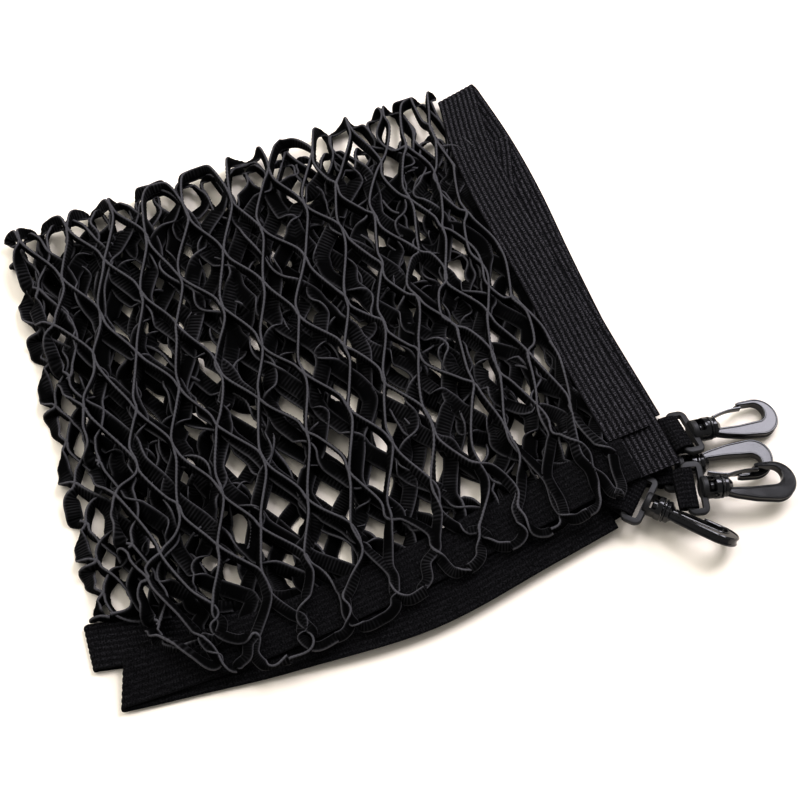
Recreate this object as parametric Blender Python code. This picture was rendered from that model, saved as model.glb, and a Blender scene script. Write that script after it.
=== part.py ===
"""Elastic cargo net, 700 mm square, folded in half twice, with a swivel snap hook at each corner.

The net and its webbing lie flat on the ground in four layers, numbered from the ground up. Layers 1
and 2 meet in a fold at the left, and so do layers 3 and 4. Layers 1 and 4 meet in a wide fold at the
back, with the narrower fold of layers 2 and 3 inside it. All four corners of the cloth come together
at the front right, where the hooks lie. Metres, +Z up, X to the right, Y to the back.
"""

import math
from collections import namedtuple

import bmesh
import bpy
from mathutils import Matrix, Vector, noise

# Driving dimensions of the cloth
CLOTH_SIDE = 0.700  # the square, edge to edge over its webbing
WEB_WIDTH = 0.030
WEB_THICK = 0.0018
NET_THICK = 0.0026
STRAND_WIDTH = 0.0032
CELLS_ACROSS = 18  # diamonds from side to side of the flat net
ROWS_EACH_WAY = 9  # rows of knots from the middle of the flat net to its edge
SEAM = 0.0009  # gap between the net's edge and the webbing

# Driving dimensions of the hooks
EYE_WIDTH, EYE_BAR, EYE_THICK = 0.036, 0.0035, 0.0036
SLOT_WIDTH, SLOT_LENGTH = 0.028, 0.0068
RAIL = 0.0040
YOKE_RADIUS, COLLAR_RADIUS = 0.0077, 0.0076
WINDOW_WIDTH, WINDOW_LENGTH = 0.0100, 0.0052
END_WALL = 0.0040
PIN_RADIUS, HEAD_RADIUS = 0.0026, 0.0042
RUNNING_GAP = 0.0004
HOOK_LENGTH, HOOK_WIDTH, HOOK_THICK = 0.0500, 0.0270, 0.0060
LEAF_THICK, LEAF_WIDTH = 0.0014, 0.0046
TAB_WIDTH, TAB_REACH, TAB_KNEE = 0.0265, 0.0050, 0.0025

# The middle of the whole thing's footprint, seen from above, in the frame of the tables below,
# whose zero is the back left corner of the packet
MIDDLE = Vector((0.18484, -0.20975, 0.0))

# Heights of each layer's underside: in the middle of the packet, and where it meets the webbing
LOFTED = (0.0, 0.0044, 0.0088, 0.0132)
PRESSED = (0.0, 0.0032, 0.0064, 0.0096)
CORNER_RISE = (0.0, 0.0, 0.0120, 0.0118)  # how far each layer climbs over the hooks' eyes
CORNER_RISE_X, CORNER_RISE_Y = (0.235, 0.300), (-0.235, -0.325)  # where that climb starts and ends
FRONT_LEAN = 0.19  # slope of layers 3 and 4's webbing where it leans on the webbing below
LEAN_FADE_X = (0.120, 0.010)  # where the lean starts, going left, and where it is whole
LEAN_INSET = 0.002  # how far inside layer 3's webbing the lean starts
FOOT_RISE = 0.0030  # how far the top net climbs over its own webbing at the front

# Centre lines of the webbing along the right side, seen from above: x of each layer at y
Right = namedtuple("Right", "y x1 x2 x3 x4")
RIGHT = (
    Right(-0.010, 0.3390, 0.3400, 0.3400, 0.3225),
    Right(-0.060, 0.3430, 0.3400, 0.3400, 0.3225),
    Right(-0.110, 0.3420, 0.3370, 0.3240, 0.3220),
    Right(-0.170, 0.3370, 0.3335, 0.3235, 0.3220),
    Right(-0.230, 0.3330, 0.3320, 0.3250, 0.3205),
    Right(-0.290, 0.3305, 0.3325, 0.3240, 0.3170),
    Right(-0.350, 0.3290, 0.3330, 0.3225, 0.3150),
)
# Centre lines of the webbing along the front: y of each layer at x
Front = namedtuple("Front", "x y1 y2 y3 y4")
FRONT = (
    Front(-0.047, -0.3125, -0.3125, -0.3420, -0.3420),
    Front(0.000, -0.3260, -0.3250, -0.3510, -0.3465),
    Front(0.060, -0.3450, -0.3430, -0.3620, -0.3500),
    Front(0.150, -0.3620, -0.3580, -0.3720, -0.3470),
    Front(0.240, -0.3560, -0.3520, -0.3620, -0.3380),
    Front(0.310, -0.3440, -0.3400, -0.3530, -0.3365),
)
# Each layer: the half of the cloth it is (across, along), where its webbing turns over at the back
# (y) and at the left (x), where it ends at the front (y) and at the right (x), the left end of its
# net's front edge (x), and how far that edge lies from the webbing's centre line
Layer = namedtuple("Layer", "across along turn_y turn_x end_y end_x foot_x foot_reach")
IN_FRONT_OF_SEAM = -(WEB_WIDTH / 2 + SEAM)
LAYERS = (
    Layer(+1, -1, -0.0170, -0.0440, -0.305, 0.282, -0.036, IN_FRONT_OF_SEAM),
    Layer(-1, -1, -0.0640, -0.0440, -0.308, 0.284, -0.036, IN_FRONT_OF_SEAM),
    Layer(-1, +1, -0.0640, -0.0320, -0.351, 0.284, -0.008, IN_FRONT_OF_SEAM),
    Layer(+1, +1, -0.0170, -0.0320, -0.317, 0.309, -0.008, 0.0180),
)
BACK_LEFT = Vector((0.000, -0.0060))
NET_TOP_Y = -0.0060

# The hooks: the middle of the swivel joint, the way the hook points seen from above, its dip towards
# the tip, the roll of its eye and of its turning half, and the end of the tab behind the eye
Hook = namedtuple("Hook", "number x y z heading dip roll spin back_x back_y back_z")
HOOKS = (
    Hook(1, 0.3678, -0.3332, 0.0123, -6.0, 10, -12, 0, 0.3392, -0.3290, 0.0155),
    Hook(2, 0.3501, -0.3516, 0.0079, -17.0, 2, 3, 180, 0.3165, -0.3385, 0.0062),
    Hook(3, 0.3529, -0.3750, 0.0168, -15.5, 6, 8, 0, 0.3250, -0.3680, 0.0200),
    Hook(4, 0.3138, -0.3740, 0.0130, -50.0, 0.5, 0, -50, 0.2900, -0.3440, 0.0115),
)


def material(name, colour, roughness):
    made = bpy.data.materials.new(name)
    made.use_nodes = True
    shader = made.node_tree.nodes["Principled BSDF"]
    shader.inputs["Base Color"].default_value = (*colour, 1.0)
    shader.inputs["Roughness"].default_value = roughness
    shader.inputs["Metallic"].default_value = 0.0
    return made


def add_object(name, bm, finish, parent=None):
    """Makes one named object from a bmesh, with its own material."""
    mesh = bpy.data.meshes.new(name)
    bm.to_mesh(mesh)
    bm.free()
    made = bpy.data.objects.new(name, mesh)
    bpy.context.collection.objects.link(made)
    mesh.materials.append(material(name, *finish))
    made.parent = parent
    return made


def keep_as_mesh(made):
    """Turns an object's modifiers into its mesh."""
    bpy.context.view_layer.update()
    shaped = bpy.data.meshes.new_from_object(made.evaluated_get(bpy.context.evaluated_depsgraph_get()))
    made.modifiers.clear()
    made.data = shaped


# ---------------------------------------------------------------- smooth lines through the tables


def mix(a, b, share):
    return a + (b - a) * share


def ease(low, high, value):
    """0 up to low, 1 from high, and a smooth step between them."""
    share = min(1.0, max(0.0, (value - low) / (high - low)))
    return share * share * (3 - 2 * share)


def along_table(rows, key, column, at):
    """A smooth curve through one column of a table, read at a value of its key column."""
    keys = [getattr(row, key) for row in rows]
    values = [getattr(row, column) for row in rows]
    order = 1 if keys[-1] > keys[0] else -1
    i = max([0] + [n for n in range(1, len(keys) - 1) if order * (at - keys[n]) >= 0])
    before, after = max(0, i - 1), min(len(keys) - 1, i + 2)
    span = keys[i + 1] - keys[i]
    slope_in = (values[i + 1] - values[before]) / (keys[i + 1] - keys[before])
    slope_out = (values[after] - values[i]) / (keys[after] - keys[i])
    t = (at - keys[i]) / span
    if not 0.0 <= t <= 1.0:
        edge = min(1.0, max(0.0, t))
        return values[i + round(edge)] + (at - keys[i + round(edge)]) * (slope_out if edge else slope_in)
    return (
        (2 * t**3 - 3 * t**2 + 1) * values[i]
        + (t**3 - 2 * t**2 + t) * span * slope_in
        + (3 * t**2 - 2 * t**3) * values[i + 1]
        + (t**3 - t**2) * span * slope_out
    )


def rise_at(layer, x, y):
    """How far a layer climbs over the hooks' eyes towards the front right corner."""
    return CORNER_RISE[layer] * ease(*CORNER_RISE_X, x) * ease(*CORNER_RISE_Y, y)


def right_line(layer, y):
    """The webbing at the right side: the middle of its underside, and the way across it."""
    x = along_table(RIGHT, "y", f"x{layer + 1}", y)
    return Vector((x, y, PRESSED[layer] + rise_at(layer, x, y))), Vector((1, 0, 0))


def lean_at(layer, x, y):
    """How far layers 3 and 4 lean down to the ground, off the webbing below, near their left end."""
    if layer < 2:
        return 0.0
    edge_y = along_table(FRONT, "x", "y3", x) + WEB_WIDTH / 2 - LEAN_INSET
    return min(0.0, y - edge_y) * front_slope(layer, x)


def front_slope(layer, x):
    """The slope of a layer's webbing across the front."""
    return FRONT_LEAN * ease(*LEAN_FADE_X, x) if layer > 1 else 0.0


def front_line(layer, x):
    """The webbing at the front: the middle of its underside, and the way across it."""
    y = along_table(FRONT, "x", f"y{layer + 1}", x)
    height = PRESSED[layer] + lean_at(layer, x, y)
    if layer == 3:
        height += rise_at(layer, x, CORNER_Y)
    return Vector((x, y, height)), Vector((0, 1, front_slope(layer, x)))


# ---------------------------------------------------------------- the webbing


def ribbon_object(name, stations, width, thickness, finish, parent=None):
    """A flat band as one solid: each station is the middle of its section and the way across it."""
    bm = bmesh.new()
    rings = []
    for i, (middle, across) in enumerate(stations):
        ahead = stations[min(i + 1, len(stations) - 1)][0] - stations[max(i - 1, 0)][0]
        normal = ahead.cross(across).normalized() * thickness / 2
        side = across.normalized() * width / 2
        below, above = middle - normal, middle + normal
        corners = (below - side, below + side, above + side, above - side)
        rings.append([bm.verts.new(corner) for corner in corners])
    for near, far in zip(rings, rings[1:]):
        for i in range(4):
            bm.faces.new((near[i], near[i - 3], far[i - 3], far[i]))
    bm.faces.new(rings[0])
    bm.faces.new(reversed(rings[-1]))
    bmesh.ops.recalc_face_normals(bm, faces=bm.faces)
    return add_object(name, bm, finish, parent)


def turned_over(low, high, reach, steps=7):
    """Points of the half round in which a band turns over, from its lower leg to its upper one."""
    middle, half = (low + high) / 2, (high - low) / 2
    angles = [math.pi * (i + 0.5) / steps for i in range(steps)]
    return [middle - half * math.cos(angle) + reach * math.sin(angle) for angle in angles]


def side_band(name, lower, upper, line, turn, end, outwards, step):
    """One side's webbing, folded in half: up the lower layer, over, and down the upper one."""
    legs = []
    for layer in (lower, upper):
        start, stop = getattr(LAYERS[layer], turn), getattr(LAYERS[layer], end)
        count = math.ceil(abs(stop - start) / step)
        places = [line(layer, mix(start, stop, i / count)) for i in range(count + 1)]
        legs.append([(point + Vector((0, 0, WEB_THICK / 2)), across) for point, across in places])
    (low, across), (high, _) = legs[0][0], legs[1][0]
    fold = turned_over(low, high, outwards * (high - low).length / 2)
    path = [*reversed(legs[0]), *((point, across) for point in fold), *legs[1]]
    stations = [(point - MIDDLE, across) for point, across in path]
    return ribbon_object(name, stations, WEB_WIDTH, WEB_THICK, WEBBING)


# ---------------------------------------------------------------- the net


def fold_length(distance, radius):
    """How far from the edge of a round fold a point of the flat cloth comes to lie."""
    angle = abs(distance) / radius
    if angle < math.pi / 2:
        return radius * (1 - math.cos(angle))
    return abs(distance) - radius * (math.pi / 2 - 1)


def fold_side(distance, radius):
    """Which leg of the fold a point is on: -1 before it, +1 after it, 0 at its edge."""
    return math.sin(max(-math.pi / 2, min(math.pi / 2, distance / radius)))


HALF = CLOTH_SIDE / 2 - WEB_WIDTH
LEFT_RADIUS = (LOFTED[1] - LOFTED[0]) / 2
BACK_RADIUS_INNER, BACK_RADIUS_OUTER = LEFT_RADIUS, 3 * LEFT_RADIUS
INNER_FOLD_INSET = BACK_RADIUS_OUTER - BACK_RADIUS_INNER
INNER_FOLD_DROP = 0.050  # how much further to the front the inner fold lies at the right side
BUNCH = 0.045  # how much the net is drawn together towards the right
LIMP = 0.0042  # how unevenly it lies
LIMP_ACROSS, LIMP_ALONG = (17, 14, 3.1), (15, 16, 8.6)  # waves a metre each way, and a seed
CORNER_Y = -0.340  # where the right edge's line meets the front edge's
BACK_DROP_U = (0.35, 1.0)  # shares of a layer's width over which the inner back fold drops
REACH_U = (0.0, 0.12)  # over which its front edge reaches its full distance from the webbing
LEFT_FOLD_U = (0.0, 0.10)  # over which it leaves the left fold
PRESS_U, PRESS_V = (0.76, 0.96), (0.70, 0.90)  # over which it sinks to the webbing's height
CLIMB_U, CLIMB_V = (0.0, 0.06), (0.76, 0.875)  # over which the top net climbs over its webbing


def layer_place(layer, u, v):
    """Where a point of one layer lies; u runs from 0 at the left to 1 at the right, v to the front."""
    row = LAYERS[layer]
    seam = WEB_WIDTH / 2 + SEAM

    def right_edge(y):
        return Vector((right_line(layer, y)[0].x - seam, y))

    def front_edge(x):
        reach = mix(IN_FRONT_OF_SEAM, row.foot_reach, ease(*REACH_U, u))
        return Vector((x, front_line(layer, x)[0].y - reach))

    inset = INNER_FOLD_INSET if layer in (1, 2) else 0.0
    drop = INNER_FOLD_DROP if layer in (1, 2) else 0.0
    back_left = Vector((BACK_LEFT.x, BACK_LEFT.y - inset))
    back_right = right_edge(NET_TOP_Y - inset - drop)
    back = Vector((mix(back_left.x, back_right.x, u), back_left.y - drop * ease(*BACK_DROP_U, u)))
    foot_left = front_edge(row.foot_x)
    corner = front_edge(right_edge(CORNER_Y).x)
    across = back * (1 - v) + front_edge(mix(row.foot_x, corner.x, u)) * v
    along = back_left.lerp(foot_left, v) * (1 - u) + right_edge(mix(back_right.y, corner.y, v)) * u
    between = back_left.lerp(back_right, u) * (1 - v) + foot_left.lerp(corner, u) * v
    place = across + along - between
    pressed = (1 - (1 - ease(*PRESS_U, u)) * (1 - ease(*PRESS_V, v))) * ease(*LEFT_FOLD_U, u)
    height = mix(LOFTED[layer], PRESSED[layer], pressed)
    height += rise_at(layer, place.x, place.y) + lean_at(layer, place.x, place.y)
    if layer == 3:
        clear = FOOT_RISE + WEB_WIDTH / 2 * front_slope(layer, place.x)
        height += clear * ease(*CLIMB_U, u) * ease(*CLIMB_V, v)
    return Vector((place.x, place.y, height + NET_THICK / 2))


def unevenness(a, b, waves_across, waves_along, seed):
    return LIMP / HALF * noise.noise(Vector((a * waves_across, b * waves_along, seed)))


def laid(a, b):
    """Where a point of the flat net lies in the packet: a across the cloth, b along it."""
    side = fold_side(a, LEFT_RADIUS)
    radius = mix(BACK_RADIUS_INNER, BACK_RADIUS_OUTER, (1 + side) / 2)
    end = fold_side(b, radius)
    u = fold_length(a, LEFT_RADIUS) / fold_length(HALF, LEFT_RADIUS)
    v = fold_length(b, radius) / fold_length(HALF, radius)
    u += BUNCH * math.sin(math.pi * u)
    loose = 4 * u * (1 - u) * min(1.0, 2.5 * (1 - v))
    u += loose * unevenness(a, b, *LIMP_ACROSS)
    v += loose * unevenness(a, b, *LIMP_ALONG) * min(1.0, 9 * v)
    total = Vector()
    for layer, row in enumerate(LAYERS):
        share = (1 + row.across * side) * (1 + row.along * end) / 4
        if share > 1e-9:
            total += layer_place(layer, u, v) * share
    return total - MIDDLE


KNOT_CLEAR = 0.0004  # from the outermost knots' tips to the seam
EDGE_CLEAR = 0.0046  # from the last row of knots to the webbing
BACK_FOLD_SHARES = (0.0, 0.28, 0.42, 0.50, 0.58, 0.72, 1.0)  # where a strand over the back fold bends
LEFT_FOLD_SHARES = (0.0, 0.11, 0.25, 1.0)  # where a strand that leaves the left fold bends


def net_object():
    """The net: diamonds between strands that meet at knots, cut flat, laid in four and thickened."""
    half_cell = (HALF - SEAM - STRAND_WIDTH / 2 - KNOT_CLEAR) / CELLS_ACROSS
    row_step = (HALF - EDGE_CLEAR) / (ROWS_EACH_WAY - 0.5)
    slant = math.atan2(half_cell, row_step)
    knot_a = STRAND_WIDTH / 2 / math.cos(slant)
    knot_b = STRAND_WIDTH / 2 / math.sin(slant)
    bm = bmesh.new()

    def point(a, b):
        return bm.verts.new(laid(a, b))

    knots = {}
    for j in range(-ROWS_EACH_WAY, ROWS_EACH_WAY):
        for i in range(-CELLS_ACROSS, CELLS_ACROSS + 1):
            if (i + j) % 2 == 0:
                a, b = i * half_cell, (j + 0.5) * row_step
                sides = {
                    "left": (-knot_a, 0),
                    "right": (knot_a, 0),
                    "front": (0, knot_b),
                    "back": (0, -knot_b),
                }
                knots[i, j] = {way: (a + da, b + db) for way, (da, db) in sides.items()}
                knots[i, j]["verts"] = {way: point(*knots[i, j][way]) for way in sides}
                ring = knots[i, j]["verts"]
                bm.faces.new((ring["left"], ring["back"], ring["right"], ring["front"]))
    for (i, j), near in knots.items():
        for step in (-1, 1):
            far = knots.get((i + step, j + 1))
            if far is None:
                continue
            outer, inner = ("right", "left") if step > 0 else ("left", "right")
            shares = (0.0, 1.0)
            if j == -1:
                shares = BACK_FOLD_SHARES
            elif i == 0:
                shares = LEFT_FOLD_SHARES
            elif i + step == 0:
                shares = [1 - share for share in reversed(LEFT_FOLD_SHARES)]
            one, two = [near["verts"][outer]], [near["verts"]["front"]]
            sides_of_strand = ((one, near[outer], far["back"]), (two, near["front"], far[inner]))
            for share in shares[1:-1]:
                for rail, start, stop in sides_of_strand:
                    rail.append(point(mix(start[0], stop[0], share), mix(start[1], stop[1], share)))
            one.append(far["verts"]["back"])
            two.append(far["verts"][inner])
            for k in range(len(one) - 1):
                bm.faces.new((one[k], one[k + 1], two[k + 1], two[k]))
    bmesh.ops.recalc_face_normals(bm, faces=bm.faces)
    made = add_object("net", bm, NET_CORD)
    thicken = made.modifiers.new("thickness", "SOLIDIFY")
    thicken.thickness = NET_THICK
    thicken.offset = 0.0
    thicken.use_even_offset = False
    return made


# ---------------------------------------------------------------- the hooks


def arc(centre_x, centre_y, radius, start, stop, steps):
    """Points of an arc, in degrees, counter-clockwise when stop is above start."""
    angles = [math.radians(mix(start, stop, i / steps)) for i in range(steps + 1)]
    return [(centre_x + radius * math.cos(t), centre_y + radius * math.sin(t)) for t in angles]


def plate(outline, thickness, bm=None):
    """A flat outline in the hook's own plane, raised to a plate about that plane."""
    bm = bm or bmesh.new()
    face = bm.faces.new([bm.verts.new((x, y, -thickness / 2)) for x, y in outline])
    raised = bmesh.ops.extrude_face_region(bm, geom=[face])["geom"]
    tops = [item for item in raised if isinstance(item, bmesh.types.BMVert)]
    bmesh.ops.translate(bm, verts=tops, vec=(0, 0, thickness))
    bmesh.ops.recalc_face_normals(bm, faces=bm.faces)
    return bm


def turned(profile, sides):
    """A round piece about the hook's axis, from rows of place along the axis and radius."""
    bm = bmesh.new()
    verts = [bm.verts.new((x, radius, 0)) for x, radius in profile]
    edges = [bm.edges.new(pair) for pair in zip(verts, verts[1:])]
    bmesh.ops.spin(
        bm, geom=verts + edges, cent=(0, 0, 0), axis=(1, 0, 0), angle=math.tau, steps=sides, use_merge=True
    )
    bmesh.ops.remove_doubles(bm, verts=bm.verts, dist=1e-6)
    bmesh.ops.holes_fill(bm, edges=[edge for edge in bm.edges if edge.is_boundary], sides=0)
    bmesh.ops.recalc_face_normals(bm, faces=bm.faces)
    return bm


def guide_object(name, bm):
    """A cutter, or a shape to join on: it isn't part of the hook by itself."""
    made = add_object(name, bm, BLACK_PLASTIC)
    made.hide_render = True
    made.display_type = "WIRE"
    return made


def combine(base, guides):
    """Joins or cuts shapes, each given with its operation, and keeps the result as the mesh."""
    for operation, guide in guides:
        step = base.modifiers.new(guide.name, "BOOLEAN")
        step.operation = operation
        step.object = guide
        step.solver = "EXACT"
    keep_as_mesh(base)
    for _, guide in guides:
        bpy.data.objects.remove(guide)
    return base


def rounded_box(left, right, half_width, corner, steps):
    """The outline of a rectangle with round corners."""
    return [
        *arc(right - corner, half_width - corner, corner, 0, 90, steps),
        *arc(left + corner, half_width - corner, corner, 90, 180, steps),
        *arc(left + corner, -half_width + corner, corner, 180, 270, steps),
        *arc(right - corner, -half_width + corner, corner, 270, 360, steps),
    ]


RAIL_BACK = -(END_WALL + WINDOW_LENGTH + RAIL)  # the eye's outer rail, where it meets the slot
SLOT_BACK = RAIL_BACK - SLOT_LENGTH
BAR_MIDDLE = SLOT_BACK - EYE_BAR / 2


def eye_object(number, parent):
    """The webbing eye, with the yoke that holds the swivel pin; the slot is for the tab."""
    frame = plate(rounded_box(SLOT_BACK - EYE_BAR, RAIL_BACK + RAIL, EYE_WIDTH / 2, 0.0050, 3), EYE_THICK)
    made = add_object(f"hook_{number}_eye", frame, BLACK_PLASTIC, parent)
    yoke = turned(((RAIL_BACK + 0.0006, YOKE_RADIUS), (-RUNNING_GAP / 2, YOKE_RADIUS)), 14)
    slot = plate(rounded_box(SLOT_BACK, RAIL_BACK, SLOT_WIDTH / 2, 0.0008, 1), 3 * EYE_THICK)
    window_middle = -END_WALL - WINDOW_LENGTH / 2
    window = bmesh.new()
    bmesh.ops.create_cube(
        window,
        size=1.0,
        matrix=Matrix.Translation((window_middle, 0, 0))
        @ Matrix.Diagonal((WINDOW_LENGTH, WINDOW_WIDTH, 4 * YOKE_RADIUS, 1)),
    )
    hole_radius = (PIN_RADIUS + RUNNING_GAP) / math.cos(math.pi / 14)
    hole = turned(((-END_WALL - 0.001, hole_radius), (0.001, hole_radius)), 14)
    guides = (
        ("UNION", guide_object("yoke", yoke)),
        ("DIFFERENCE", guide_object("slot", slot)),
        ("DIFFERENCE", guide_object("window", window)),
        ("DIFFERENCE", guide_object("hole", hole)),
    )
    for _, guide in guides:
        guide.parent = parent
    return combine(made, guides)


LEG_INNER, LEG_ROOT, NOSE_X = -0.0028, -0.0072, 0.0250
BEND_X = HOOK_LENGTH - HOOK_WIDTH / 2
GATE_ROOT_X, GATE_ROOT_Y = 0.0063, 0.0068


def body_object(number, parent):
    """The turning half: pin head, pin and collar, with the hook's leg, bend and nose."""
    half = HOOK_WIDTH / 2
    outline = [
        (0.0035, LEG_ROOT + 0.0012),
        (0.0100, LEG_ROOT - 0.0012),
        (0.0220, LEG_ROOT - 0.0043),
        *arc(BEND_X, 0, half, -90, 90, 10),
        (NOSE_X + 0.0004, half - 0.0005),
        (NOSE_X + 0.0004, half - 0.0028),
        *arc(BEND_X - 0.0010, 0.0037, 0.0065, 80, -90, 7),
        (0.0200, LEG_INNER - 0.0004),
        (0.0035, LEG_INNER + 0.0006),
    ]
    made = add_object(f"hook_{number}_body", plate(outline, HOOK_THICK), BLACK_PLASTIC, parent)
    soften = made.modifiers.new("soft_edges", "BEVEL")
    soften.width = 0.0009
    soften.segments = 1
    soften.limit_method = "ANGLE"
    soften.angle_limit = math.radians(50)
    head_back = -END_WALL - RUNNING_GAP
    collar = turned(
        (
            (head_back - 0.0030, HEAD_RADIUS - 0.0007),
            (head_back - 0.0022, HEAD_RADIUS),
            (head_back, HEAD_RADIUS),
            (head_back, PIN_RADIUS),
            (RUNNING_GAP / 2, PIN_RADIUS),
            (RUNNING_GAP / 2, COLLAR_RADIUS),
            (0.0014, COLLAR_RADIUS),
            (0.0018, COLLAR_RADIUS - 0.0008),
            (0.0044, COLLAR_RADIUS - 0.0004),
            (0.0052, COLLAR_RADIUS - 0.0020),
            (0.0078, COLLAR_RADIUS - 0.0044),
        ),
        14,
    )
    guide = guide_object("collar", collar)
    guide.parent = parent
    return combine(made, (("UNION", guide),))


def gate_object(number, parent):
    """The sprung leaf, from the collar to the inside of the nose; it starts at its own hinge."""
    reach_x, reach_y = NOSE_X + 0.0028 - GATE_ROOT_X, HOOK_WIDTH / 2 - 0.0041 - GATE_ROOT_Y
    steps = 6
    middle = []
    for i in range(steps + 1):
        t = i / steps
        middle.append((reach_x * t, reach_y * t + 0.0011 * math.sin(math.pi * t)))
    half = LEAF_THICK / 2
    upper = [(x, y + half) for x, y in middle]
    lower = [(x, y - half) for x, y in reversed(middle)]
    bm = plate([*upper, *lower, (-half * 0.8, 0.0)], LEAF_WIDTH)
    made = add_object(f"hook_{number}_gate", bm, BLACK_PLASTIC, parent)
    made.location = (GATE_ROOT_X, GATE_ROOT_Y, 0)
    return made


def hermite(start, start_way, end, end_way, t):
    """A point and the way ahead on the smooth curve between two ends."""
    place = (
        start * (2 * t**3 - 3 * t**2 + 1)
        + start_way * (t**3 - 2 * t**2 + t)
        + end * (3 * t**2 - 2 * t**3)
        + end_way * (t**3 - t**2)
    )
    way = (
        (start - end) * (6 * t**2 - 6 * t)
        + start_way * (3 * t**2 - 4 * t + 1)
        + end_way * (3 * t**2 - 2 * t)
    )
    return place, way


def tab_object(hook, frame):
    """The corner tab: a loop of webbing round the eye's bar, its two ends laid together behind."""
    front = frame @ Vector((BAR_MIDDLE, 0, 0))
    back = Vector((hook.back_x, hook.back_y, hook.back_z)) - MIDDLE
    turn = frame.to_3x3()
    ahead, across, up = turn @ Vector((1, 0, 0)), turn @ Vector((0, 1, 0)), turn @ Vector((0, 0, 1))
    level = Vector((across.x, across.y, 0)).normalized()
    open_gap = EYE_THICK / 2 + RUNNING_GAP + WEB_THICK / 2
    closed_gap = WEB_THICK / 2 + 0.0003
    knee = front - ahead * TAB_KNEE
    length = (back - knee).length
    home = Vector((back.x - knee.x, back.y - knee.y, 0)).normalized() * length
    lower, upper = [], []
    for share in (1.0, 0.6, 0.25, 0.0):
        middle, way = hermite(knee, -ahead * length, back, home, share)
        lying = across.lerp(level, share)
        gap = mix(open_gap, closed_gap, ease(0.0, 0.0050, share * length))
        off = lying.cross(way).normalized() * gap
        lower.append((middle - off, lying))
        upper.insert(0, (middle + off, lying))
    bend = []
    for angle in (15, 45, 75, 105, 135, 165):
        t = math.radians(angle)
        bend.append((front - up * open_gap * math.cos(t) + ahead * TAB_REACH * math.sin(t), across))
    return ribbon_object(f"tab_{hook.number}", [*lower, *bend, *upper], TAB_WIDTH, WEB_THICK, WEBBING)


def empty_object(name, place, turn, parent=None):
    made = bpy.data.objects.new(name, None)
    bpy.context.collection.objects.link(made)
    made.location = place
    made.rotation_euler = [math.radians(angle) for angle in turn]
    made.parent = parent
    return made


def hook_objects(hook):
    """One swivel hook: one empty on the swivel axis carries the eye, another the turning half."""
    place = Vector((hook.x, hook.y, hook.z)) - MIDDLE
    swivel = empty_object(f"swivel_{hook.number}", place, (hook.roll, hook.dip, hook.heading))
    turning = empty_object(f"turning_{hook.number}", (0, 0, 0), (hook.spin - hook.roll, 0, 0), swivel)
    bpy.context.view_layer.update()
    eye_object(hook.number, swivel)
    body_object(hook.number, turning)
    gate_object(hook.number, turning)
    tab_object(hook, swivel.matrix_world)


NET_CORD = ((0.012, 0.012, 0.013), 0.75)
WEBBING = ((0.020, 0.020, 0.022), 0.80)
BLACK_PLASTIC = ((0.015, 0.015, 0.016), 0.28)


def main():
    for old in list(bpy.data.objects):
        bpy.data.objects.remove(old)
    net_object()
    side_band("band_right", 0, 3, right_line, "turn_y", "end_y", Vector((0, 1, 0)), 0.020)
    side_band("band_left", 1, 2, right_line, "turn_y", "end_y", Vector((0, 1.4, 0)), 0.020)
    side_band("band_foot", 0, 1, front_line, "turn_x", "end_x", Vector((-1.6, 0, 0)), 0.022)
    side_band("band_head", 2, 3, front_line, "turn_x", "end_x", Vector((-1.6, 0, 0)), 0.022)
    for hook in HOOKS:
        hook_objects(hook)


main()
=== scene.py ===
# %% [markdown]
# # A folded cargo net
# The real thing is a square of black elastic net, 70 cm a side, with woven webbing sewn round its
# edge and a plastic swivel hook at each corner. It lies folded in half twice, so that all four
# corners come together at the front right. The solids of the part are loaded first. They fix where
# everything is, and each piece below dresses one of them.

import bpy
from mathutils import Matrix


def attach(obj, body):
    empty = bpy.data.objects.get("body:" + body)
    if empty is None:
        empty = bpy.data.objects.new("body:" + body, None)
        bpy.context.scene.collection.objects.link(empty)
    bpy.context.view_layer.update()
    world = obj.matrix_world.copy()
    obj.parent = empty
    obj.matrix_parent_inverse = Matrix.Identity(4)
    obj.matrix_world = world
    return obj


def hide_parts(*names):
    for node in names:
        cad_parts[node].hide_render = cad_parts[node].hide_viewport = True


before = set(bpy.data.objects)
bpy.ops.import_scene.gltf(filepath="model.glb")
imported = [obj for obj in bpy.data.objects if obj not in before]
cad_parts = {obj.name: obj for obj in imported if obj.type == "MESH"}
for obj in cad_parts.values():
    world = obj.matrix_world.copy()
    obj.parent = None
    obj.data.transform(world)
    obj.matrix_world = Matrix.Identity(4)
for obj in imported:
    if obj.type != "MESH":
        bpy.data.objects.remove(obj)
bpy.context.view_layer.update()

import math
from collections import namedtuple

import bmesh
import bpy
import numpy as np
from mathutils import Matrix, Vector, noise

BODY = "packet"

# %% [markdown]
# ## Camera
# The picture is square and looks down at the packet from the front at 60 degrees. A long lens, a
# good metre away, keeps the far side of the packet nearly as wide as the near side. The place and
# the aim were found from the webbing's width and the lengths of the folded sides.

# %% Camera
SENSOR = 0.036
IMAGE_SIDE = 800  # pixels
FOCAL_PIXELS = 1741
CAMERA_PLACE = Vector((-0.21874, -0.54425, 0.99590))
CAMERA_AIM = Vector((0.01246, -0.01765, 0.0))



def placed(name, data):
    """A new object in the scene."""
    made = bpy.data.objects.new(name, data)
    bpy.context.scene.collection.objects.link(made)
    return made


camera_data = bpy.data.cameras.new("camera")
camera_data.sensor_width = SENSOR * 1000
camera_data.lens = SENSOR * 1000 * FOCAL_PIXELS / IMAGE_SIDE
camera_data.clip_start = 0.01
camera = placed("camera", camera_data)
camera.location = CAMERA_PLACE
camera.rotation_euler = (CAMERA_AIM - CAMERA_PLACE).to_track_quat("-Z", "Y").to_euler()
bpy.context.scene.camera = camera
print("lens:", round(camera_data.lens, 1), "mm")

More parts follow.
